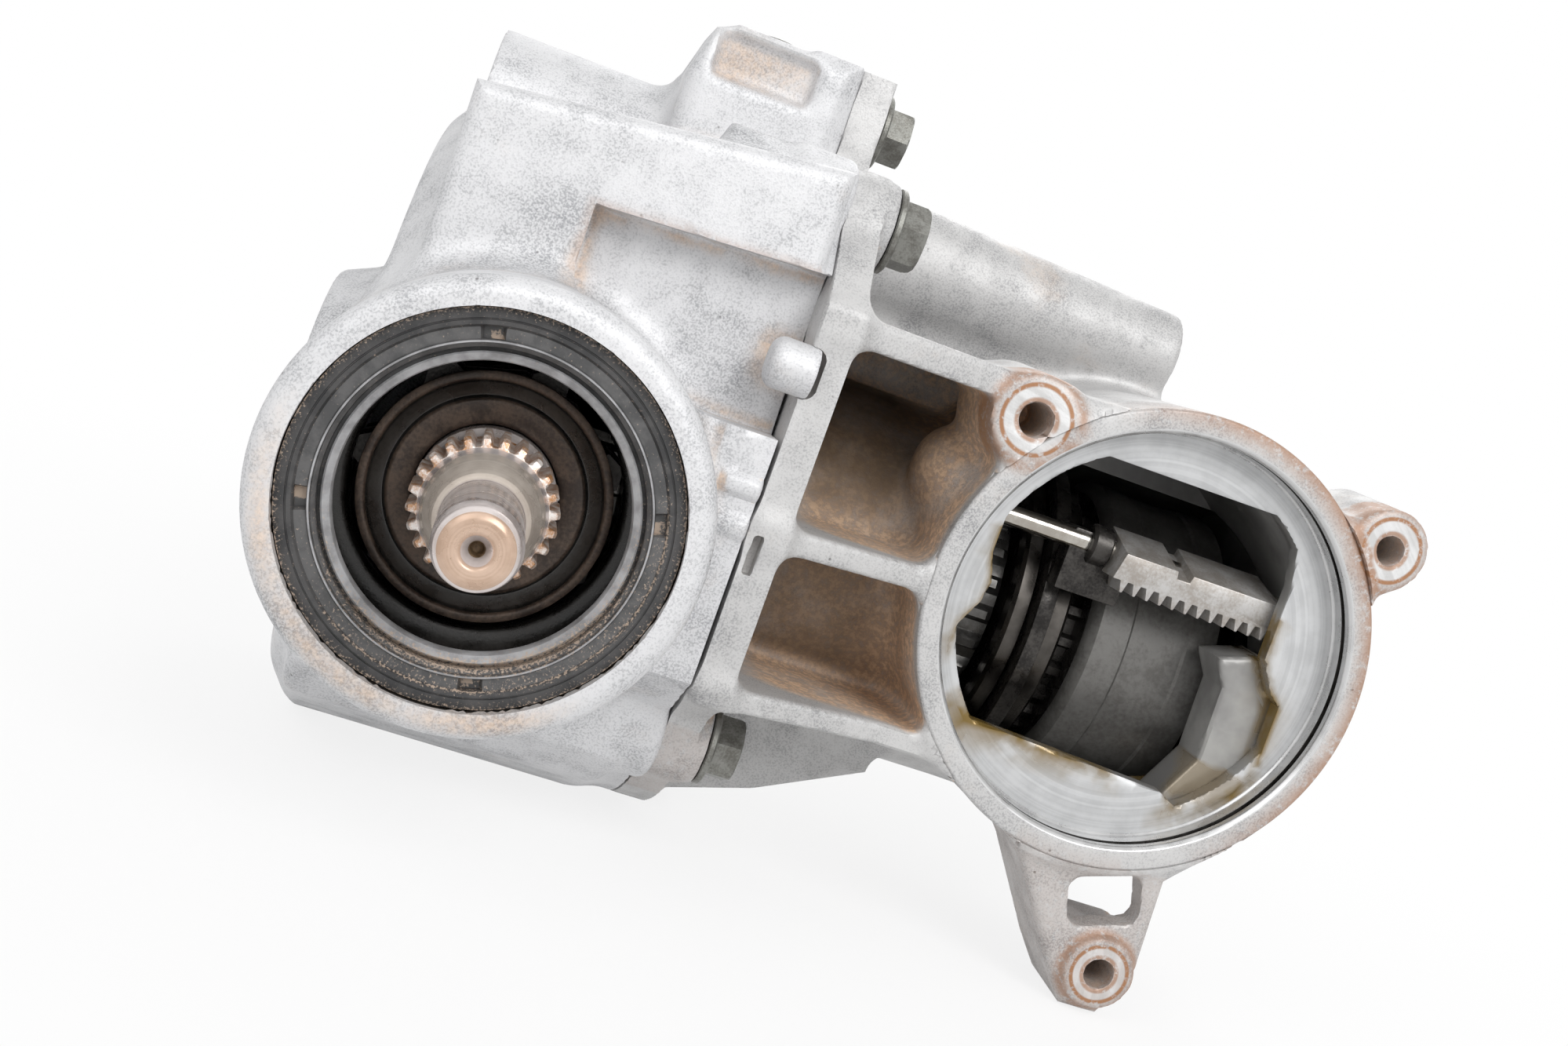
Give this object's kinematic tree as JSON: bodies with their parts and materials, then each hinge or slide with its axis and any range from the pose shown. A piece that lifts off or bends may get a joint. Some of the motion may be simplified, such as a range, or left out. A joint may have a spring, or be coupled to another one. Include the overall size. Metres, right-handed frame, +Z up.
{
  "type": "front differential",
  "caption": "Cast front differential with a splined pinion nose, side cover, and an open actuator housing that shows the shift rack and clutch.",
  "frame": {"origin": "middle of the footprint of the bounding box, at the height of the lowest cast faces", "axes": "+X along the axle towards the side cover and actuator housing, +Y from the pinion nose into the casting, +Z up"},
  "size_m": [0.2299, 0.2204, 0.1686],
  "materials": {
    "cast": "sand-cast grey, speckled, with tan dirt in corners",
    "steel": "machined and oily",
    "rack_steel": "dark oiled steel with a brown film",
    "rusty_steel": "brown with light rust",
    "bolt_steel": "dull olive-grey plating",
    "seal_rubber": "black moulded rubber"
  },
  "bodies": {
    "housing": {"breather": "bolt_steel", "carrier_left_bearing_outer_race": "steel", "carrier_left_bearing_roller_cage": "steel", "carrier_right_bearing_outer_race": "steel", "carrier_right_bearing_roller_cage": "steel", "dowel_1": "steel", "dowel_2": "steel", "drain_plug": "bolt_steel", "fill_plug": "bolt_steel", "flange_bolt_1": "bolt_steel", "flange_bolt_2": "bolt_steel", "flange_bolt_3": "bolt_steel", "flange_bolt_4": "bolt_steel", "flange_bolt_5": "bolt_steel", "flange_bolt_6": "bolt_steel", "flange_bolt_7": "bolt_steel", "guide_bar": "steel", "left_axle_seal": "seal_rubber", "main_case": "cast", "output_bearing_outer_race": "steel", "output_bearing_roller_cage": "steel", "pinion_front_bearing_outer_race": "steel", "pinion_front_bearing_roller_cage": "steel", "pinion_rear_bearing_outer_race": "steel", "pinion_rear_bearing_roller_cage": "steel", "pinion_seal": "seal_rubber", "right_axle_seal": "seal_rubber", "seal_spring": "steel", "side_cover": "cast"},
    "pinion_line": {"drive_pinion": "steel", "oil_slinger": "rusty_steel", "pinion_front_bearing_inner_race": "steel", "pinion_rear_bearing_inner_race": "steel"},
    "carrier_line": {"carrier": "cast", "ring_gear": "steel", "cross_pin": "steel", "carrier_left_bearing_inner_race": "steel", "carrier_right_bearing_inner_race": "steel"},
    "left_side": {"side_gear_left": "steel"},
    "right_side": {"side_gear_right": "steel", "intermediate_shaft": "steel", "clutch_gear": "rack_steel"},
    "top_spider": {"spider_gear_top": "steel"},
    "bottom_spider": {"spider_gear_bottom": "steel"},
    "output_line": {"output_shaft": "cast", "output_bearing_inner_race": "steel"},
    "sleeve_line": {"shift_sleeve": "steel"},
    "shift_line": {"shift_rack": "rack_steel"}
  },
  "joints": [
    {"name": "carrier_spin", "type": "hinge", "parent": "housing", "child": "carrier_line", "pos_m": [-0.07295, 0.0293, 0.068], "axis": [1, 0, 0], "continuous": true},
    {"name": "pinion_spin", "type": "hinge", "parent": "housing", "child": "pinion_line", "pos_m": [-0.07295, -0.0757, 0.068], "axis": [0, 1, 0], "continuous": true},
    {"name": "right_side_spin", "type": "hinge", "parent": "carrier_line", "child": "right_side", "pos_m": [-0.06595, 0.0293, 0.068], "axis": [1, 0, 0], "continuous": true},
    {"name": "left_side_spin", "type": "hinge", "parent": "carrier_line", "child": "left_side", "pos_m": [-0.06595, 0.0293, 0.068], "axis": [1, 0, 0], "continuous": true},
    {"name": "top_spider_spin", "type": "hinge", "parent": "carrier_line", "child": "top_spider", "pos_m": [-0.06595, 0.0293, 0.068], "axis": [0, 0, 1], "continuous": true},
    {"name": "bottom_spider_spin", "type": "hinge", "parent": "carrier_line", "child": "bottom_spider", "pos_m": [-0.06595, 0.0293, 0.068], "axis": [0, 0, 1], "continuous": true},
    {"name": "output_spin", "type": "hinge", "parent": "housing", "child": "output_line", "pos_m": [-0.07295, 0.0293, 0.068], "axis": [1, 0, 0], "continuous": true},
    {"name": "shift_slide", "type": "slide", "parent": "housing", "child": "shift_line", "axis": [1, 0, 0], "range_m": [-0.008, 0]},
    {"name": "sleeve_slide", "type": "slide", "parent": "output_line", "child": "sleeve_line", "axis": [1, 0, 0], "range_m": [-0.008, 0]}
  ],
  "couplings": [
    {"joint": "pinion_spin", "follows": "carrier_spin", "ratio": 3.7273},
    {"joint": "left_side_spin", "follows": "right_side_spin", "ratio": -1},
    {"joint": "top_spider_spin", "follows": "right_side_spin", "ratio": -1.4},
    {"joint": "bottom_spider_spin", "follows": "right_side_spin", "ratio": 1.4},
    {"joint": "sleeve_slide", "follows": "shift_slide", "ratio": 1}
  ]
}
